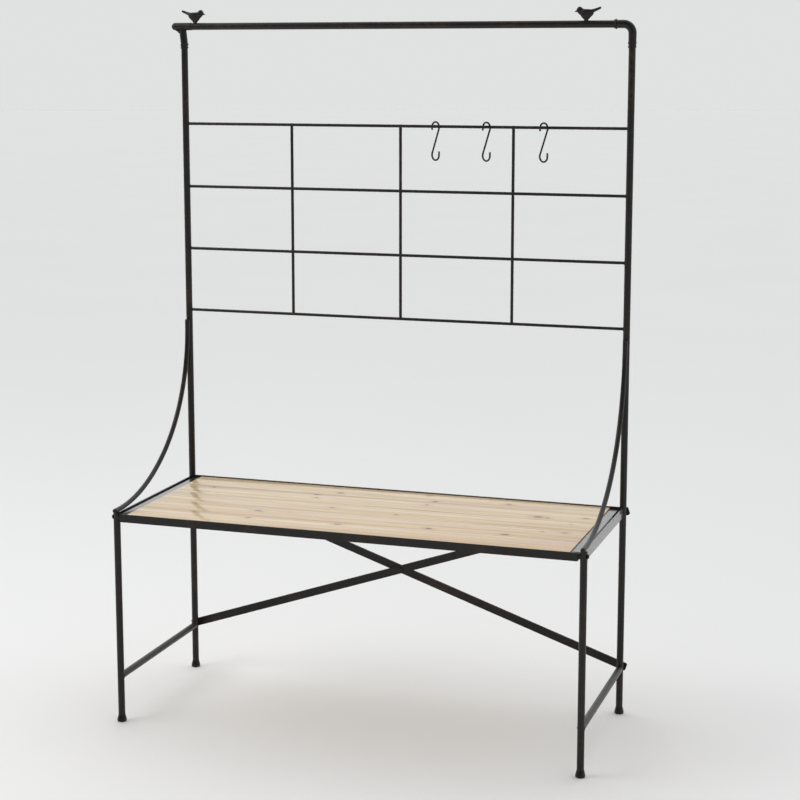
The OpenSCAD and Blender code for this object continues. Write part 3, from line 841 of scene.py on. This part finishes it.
# Wing: (x, y, z, half y, half z).
WING = [(-27, 3.4, 26.0, 0.8, 0.8), (-22, 4.6, 24.8, 1.5, 2.4), (-15, 6.6, 23.0, 1.9, 4.2),
        (-7, 7.9, 21.6, 2.0, 5.6), (1, 8.3, 21.0, 1.9, 6.0), (7, 8.0, 21.4, 1.6, 5.0),
        (11, 7.2, 22.2, 1.0, 2.6)]
# Eye: (x, half z, y).
EYE = [(19.0, 0.3, 6.4), (19.5, 0.9, 7.0), (20.3, 1.2, 7.2), (21.1, 0.9, 6.8), (21.6, 0.3, 6.2)]
EYE_Z = 28.6
BEAK_REACH = 31.2 * MM


def bird_form():
    """A cast sparrow that faces +X and stands on the origin, as overlapping closed forms."""
    form = Shape()
    form.add(loft(TRUNK, along_body))
    form.add(loft(BELLY, lambda s, across, up: (s[1] + s[2] * across, s[3] * up, s[0])))
    form.add(loft(TAIL, along_body))
    for side in (-1, 1):
        form.add(loft(WING, lambda s, across, up: (s[0], side * (s[1] + s[3] * across), s[2] + s[4] * up)))
        form.add(loft(EYE, lambda s, across, up: (s[0], side * (s[2] - 1 + across), EYE_Z + s[1] * up)))
    return form.parts()


def feather_depth(x, y, z):
    """How far the chased feather lines go in, in millimetres, at a point of the bird."""
    line = 21.6 - 0.17 * x
    wing = abs(y) > 4 and -26 < x < 10 and abs(z - line) < 6.4
    if wing and x < -2:
        return 0.50 * max(0, math.cos(math.tau * (z - line) / 2.9)) ** 3
    if wing:
        return 0.42 * max(0, math.cos(math.tau * (x + 0.10 * (z - 22) ** 2) / 3.4)) ** 3
    if x < -24:
        return 0.42 * max(0, math.cos(math.tau * y / 2.6)) ** 3
    return 0.0


def remeshed(part, voxel, smoothing):
    """The outer skin of overlapping closed forms, evenly meshed and softened."""
    mesh = bpy.data.meshes.new("raw")
    mesh.from_pydata([tuple(v) for v in part[0]], [], part[1])
    raw = bpy.data.objects.new("raw", mesh)
    bpy.context.scene.collection.objects.link(raw)
    skin = raw.modifiers.new("skin", "REMESH")
    skin.mode = "VOXEL"
    skin.voxel_size = voxel
    soft = raw.modifiers.new("soft", "SMOOTH")
    soft.iterations = smoothing
    soft.factor = 0.5
    bpy.context.view_layer.update()
    shown = raw.evaluated_get(bpy.context.evaluated_depsgraph_get())
    made = bpy.data.meshes.new_from_object(shown)
    bpy.data.objects.remove(raw)
    return made


def make_birds():
    """Two cast sparrows on the rail that face each other, with chased feathers."""
    form = remeshed(bird_form(), voxel=0.55 * MM, smoothing=5)
    normals = [v.normal.copy() for v in form.vertices]
    points = [v.co - n * feather_depth(*(v.co / MM)) * MM for v, n in zip(form.vertices, normals)]
    faces = [list(f.vertices) for f in form.polygons]
    rail_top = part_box("top_rail")[1].z
    left_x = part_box("bird_left")[1].x - BEAK_REACH
    right_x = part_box("bird_right")[0].x + BEAK_REACH
    for name, x, turn in (("bird_left", left_x, 0), ("bird_right", right_x, math.pi)):
        place = Matrix.Translation((x, BACK_Y, rail_top)) @ Matrix.Rotation(turn, 4, "Z")
        part = [place @ p for p in points], faces
        add_piece(f"cast_{name}", part, IRON, stands_for=[name], sharp=80)


make_camera()
make_studio()
dress_nodes()
make_boards()
make_leg_bolts()
make_arm_bolts()
make_brace_fasteners()
make_board_screws()
make_foot_caps()
make_trellis_welds()
make_frame_welds()
make_corner_seams()
make_birds()
